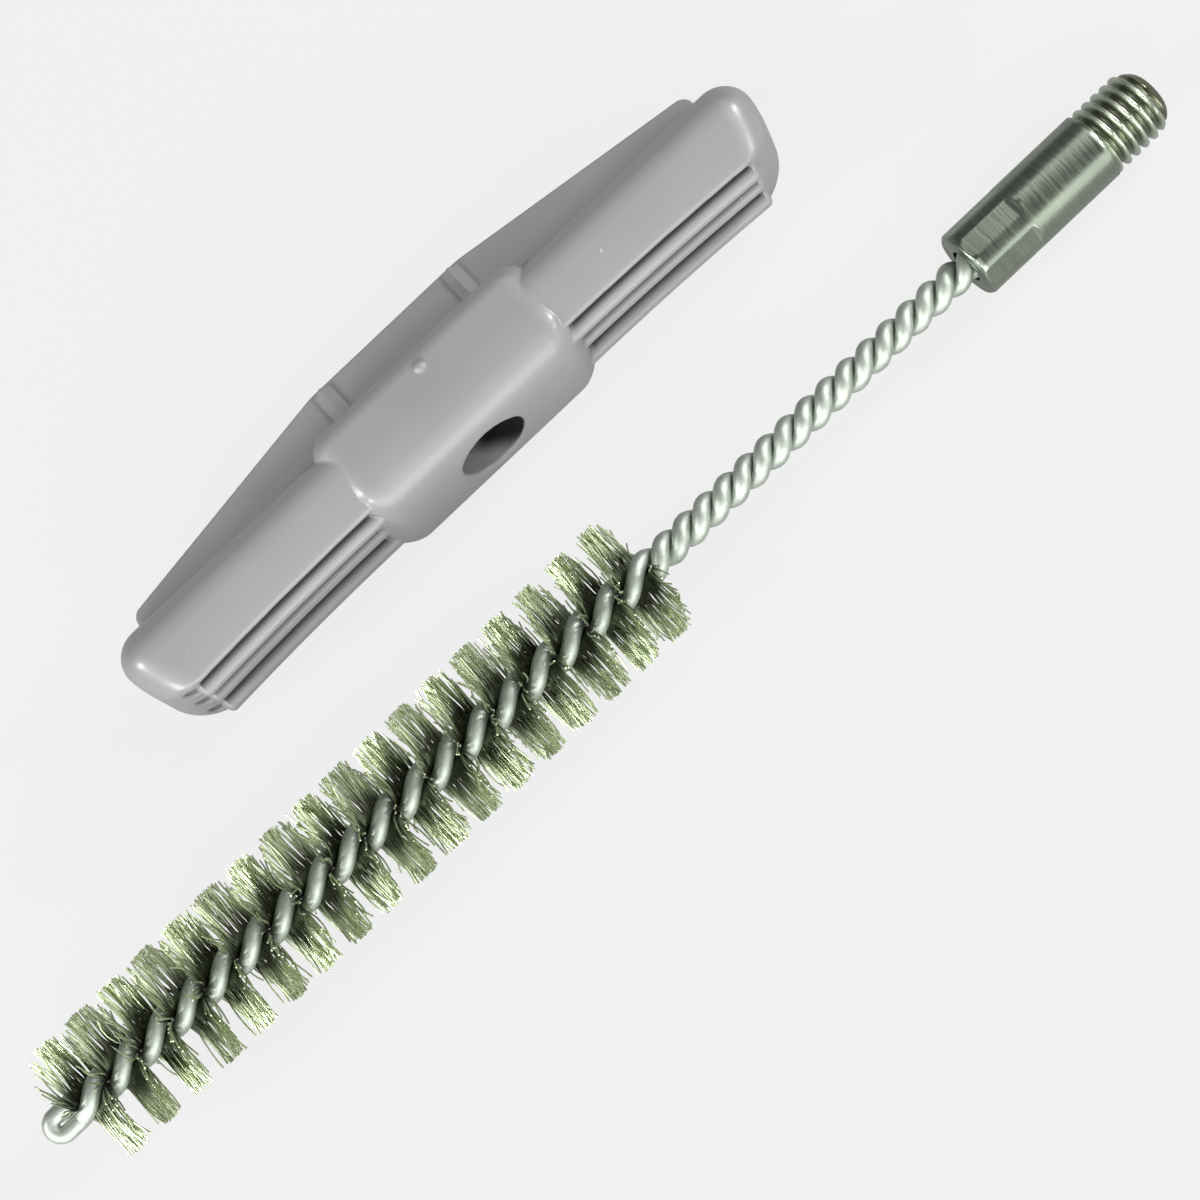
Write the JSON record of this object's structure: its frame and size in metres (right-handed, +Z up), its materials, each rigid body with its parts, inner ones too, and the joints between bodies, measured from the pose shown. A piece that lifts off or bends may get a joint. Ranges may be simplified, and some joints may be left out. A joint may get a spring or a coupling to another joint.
{
  "type": "drill hole cleaning brush",
  "caption": "Twisted wire brush with a threaded steel end, lying beside the T-shaped plastic handle that it screws into; it scrubs dust out of drilled holes.",
  "frame": {"origin": "on the table under the middle of the handle hub's flat underside", "axes": "+X runs along the handle and roughly along the brush towards its thread, +Z is up, and the handle's socket opens towards -Y"},
  "size_m": [0.1545, 0.0474, 0.0182],
  "materials": {
    "grey_plastic": "satin moulded grey",
    "zinc_steel": "turned steel with a yellowish zinc coat",
    "galvanised_wire": "bright galvanised wire",
    "bristle_steel": "fine brassed steel wire"
  },
  "bodies": {
    "handle": {"t_handle": "grey_plastic"},
    "brush": {"threaded_connector": "zinc_steel", "twisted_stem_wire": "galvanised_wire", "bristle_tuft_01": "bristle_steel", "bristle_tuft_02": "bristle_steel", "bristle_tuft_03": "bristle_steel", "bristle_tuft_04": "bristle_steel", "bristle_tuft_05": "bristle_steel", "bristle_tuft_06": "bristle_steel", "bristle_tuft_07": "bristle_steel", "bristle_tuft_08": "bristle_steel", "bristle_tuft_09": "bristle_steel", "bristle_tuft_10": "bristle_steel", "bristle_tuft_11": "bristle_steel", "bristle_tuft_12": "bristle_steel", "bristle_tuft_13": "bristle_steel", "bristle_tuft_14": "bristle_steel", "bristle_tuft_15": "bristle_steel", "bristle_tuft_16": "bristle_steel", "bristle_tuft_17": "bristle_steel", "bristle_tuft_18": "bristle_steel"}
  },
  "joints": [
    {"name": "brush_lift", "type": "slide", "parent": "handle", "child": "brush", "axis": [0, 0, 1], "range_m": [0, 0.06]}
  ]
}
